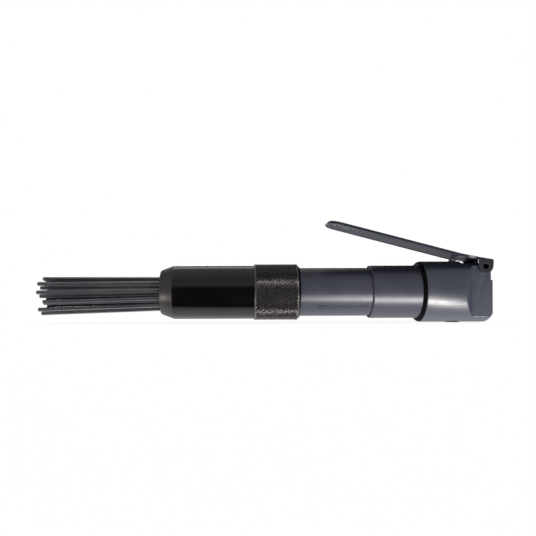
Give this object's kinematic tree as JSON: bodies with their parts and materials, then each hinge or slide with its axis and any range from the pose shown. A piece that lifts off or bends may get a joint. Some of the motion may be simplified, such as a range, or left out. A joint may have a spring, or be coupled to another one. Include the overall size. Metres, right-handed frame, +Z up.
{
  "type": "needle scaler",
  "caption": "In-line air needle scaler with a lever throttle on a round head, exhaust sleeve, barrel, knurled collar and tapered front tube holding loose chipping needles.",
  "frame": {"origin": "centre of the air inlet's mouth, on the rear face of the head", "axes": "+X out of the air inlet along the tool's axis, +Z up to the lever, +Y to the tool's far side as pictured"},
  "size_m": [0.3398, 0.046, 0.0771],
  "materials": {
    "gunmetal": "satin blue-grey gunmetal",
    "black_oxide": "gloss black oxide",
    "needle_steel": "dark drawn steel",
    "bright_steel": "ground steel",
    "bronze": "turned bronze",
    "rubber": "moulded rubber",
    "fibre": "pressed fibre sheet"
  },
  "bodies": {
    "root": {"head": "gunmetal", "sleeve": "gunmetal", "barrel": "gunmetal", "collar": "black_oxide", "front_tube": "black_oxide", "head_gasket": "fibre", "port_plate": "bright_steel", "valve_cap": "bright_steel", "anvil_bush": "bronze", "needle_spring": "bright_steel", "inlet_screen": "bronze", "pin_seal": "rubber", "valve_spring": "bright_steel", "valve_plug": "black_oxide", "plug_seal": "rubber", "lever_pin": "black_oxide"},
    "lever": {"lever": "gunmetal"},
    "throttle_pin": {"throttle_pin": "bright_steel", "poppet_seal": "rubber"},
    "flapper_valve": {"flapper_valve": "bright_steel"},
    "piston": {"piston": "bright_steel"},
    "anvil": {"anvil": "bright_steel"},
    "needle_holder": {"needle_holder": "bright_steel"},
    "needle_01": {"needle_01": "needle_steel"},
    "needle_02": {"needle_02": "needle_steel"},
    "needle_03": {"needle_03": "needle_steel"},
    "needle_04": {"needle_04": "needle_steel"},
    "needle_05": {"needle_05": "needle_steel"},
    "needle_06": {"needle_06": "needle_steel"},
    "needle_07": {"needle_07": "needle_steel"},
    "needle_08": {"needle_08": "needle_steel"},
    "needle_09": {"needle_09": "needle_steel"},
    "needle_10": {"needle_10": "needle_steel"},
    "needle_11": {"needle_11": "needle_steel"},
    "needle_12": {"needle_12": "needle_steel"},
    "needle_13": {"needle_13": "needle_steel"},
    "needle_14": {"needle_14": "needle_steel"},
    "needle_15": {"needle_15": "needle_steel"},
    "needle_16": {"needle_16": "needle_steel"},
    "needle_17": {"needle_17": "needle_steel"},
    "needle_18": {"needle_18": "needle_steel"},
    "needle_19": {"needle_19": "needle_steel"}
  },
  "joints": [
    {"name": "lever_press", "type": "hinge", "parent": "root", "child": "lever", "pos_m": [-0.0059, 0, 0.0184], "axis": [0, -1, 0], "range_deg": [0, 8], "stiffness_Nm_per_rad": 4, "springref_deg": -6.88},
    {"name": "throttle_pin_slide", "type": "slide", "parent": "root", "child": "throttle_pin", "axis": [0, 0, -1], "range_m": [0, 0.0029], "deforming": ["valve_spring"]},
    {"name": "flapper_flutter", "type": "slide", "parent": "root", "child": "flapper_valve", "axis": [-1, 0, 0], "range_m": [0, 0.0005]},
    {"name": "piston_stroke", "type": "slide", "parent": "root", "child": "piston", "axis": [-1, 0, 0], "range_m": [0, 0.0393]},
    {"name": "holder_slide", "type": "slide", "parent": "root", "child": "needle_holder", "axis": [-1, 0, 0], "range_m": [0, 0.008], "stiffness_N_per_m": 1500, "springref_m": -0.012, "deforming": ["needle_spring"]},
    {"name": "anvil_slide", "type": "slide", "parent": "root", "child": "anvil", "axis": [-1, 0, 0], "range_m": [0, 0.008]},
    {"name": "needle_01_float", "type": "slide", "parent": "needle_holder", "child": "needle_01", "axis": [-1, 0, -0.0087], "range_m": [-0.0035, 0.0015]},
    {"name": "needle_02_float", "type": "slide", "parent": "needle_holder", "child": "needle_02", "axis": [-1, 0, -0.007], "range_m": [-0.0025, 0.0025]},
    {"name": "needle_03_float", "type": "slide", "parent": "needle_holder", "child": "needle_03", "axis": [-1, 0, -0.0035], "range_m": [-0.004, 0.001]},
    {"name": "needle_04_float", "type": "slide", "parent": "needle_holder", "child": "needle_04", "axis": [-1, 0, -0.0056], "range_m": [-0.0044, 0.0006]},
    {"name": "needle_05_float", "type": "slide", "parent": "needle_holder", "child": "needle_05", "axis": [-0.9999, 0, -0.0164], "range_m": [-0.0041, 0.0009]},
    {"name": "needle_06_float", "type": "slide", "parent": "needle_holder", "child": "needle_06", "axis": [-0.9998, 0, -0.0209], "range_m": [-0.002, 0.003]},
    {"name": "needle_07_float", "type": "slide", "parent": "needle_holder", "child": "needle_07", "axis": [-0.9998, 0, -0.0175], "range_m": [-0.003, 0.002]},
    {"name": "needle_08_float", "type": "slide", "parent": "needle_holder", "child": "needle_08", "axis": [-1, 0, -0.007], "range_m": [-0.0035, 0.0015]},
    {"name": "needle_09_float", "type": "slide", "parent": "needle_holder", "child": "needle_09", "axis": [-1, 0, -0.0017], "range_m": [-0.0015, 0.0035]},
    {"name": "needle_10_float", "type": "slide", "parent": "needle_holder", "child": "needle_10", "axis": [-1, 0, 0], "range_m": [-0.0025, 0.0025]},
    {"name": "needle_11_float", "type": "slide", "parent": "needle_holder", "child": "needle_11", "axis": [-1, 0, 0.0035], "range_m": [-0.0022, 0.0028]},
    {"name": "needle_12_float", "type": "slide", "parent": "needle_holder", "child": "needle_12", "axis": [-1, 0, -0.0045], "range_m": [-0.0048, 0.0002]},
    {"name": "needle_13_float", "type": "slide", "parent": "needle_holder", "child": "needle_13", "axis": [-0.9999, 0, -0.0154], "range_m": [-0.0047, 0.0003]},
    {"name": "needle_14_float", "type": "slide", "parent": "needle_holder", "child": "needle_14", "axis": [-0.9996, 0, -0.0265], "range_m": [0, 0.005]},
    {"name": "needle_15_float", "type": "slide", "parent": "needle_holder", "child": "needle_15", "axis": [-0.9994, 0, -0.0335], "range_m": [-0.0044, 0.0006]},
    {"name": "needle_16_float", "type": "slide", "parent": "needle_holder", "child": "needle_16", "axis": [-0.9994, 0, -0.0349], "range_m": [-0.0036, 0.0014]},
    {"name": "needle_17_float", "type": "slide", "parent": "needle_holder", "child": "needle_17", "axis": [-0.9996, 0, -0.0297], "range_m": [-0.001, 0.004]},
    {"name": "needle_18_float", "type": "slide", "parent": "needle_holder", "child": "needle_18", "axis": [-0.9998, 0, -0.0209], "range_m": [-0.00275, 0.00225]},
    {"name": "needle_19_float", "type": "slide", "parent": "needle_holder", "child": "needle_19", "axis": [-0.9999, 0, -0.0122], "range_m": [-0.00425, 0.00075]}
  ],
  "couplings": [
    {"joint": "throttle_pin_slide", "follows": "lever_press", "m_per_rad": 0.0196},
    {"joint": "anvil_slide", "follows": "holder_slide", "ratio": 1}
  ]
}
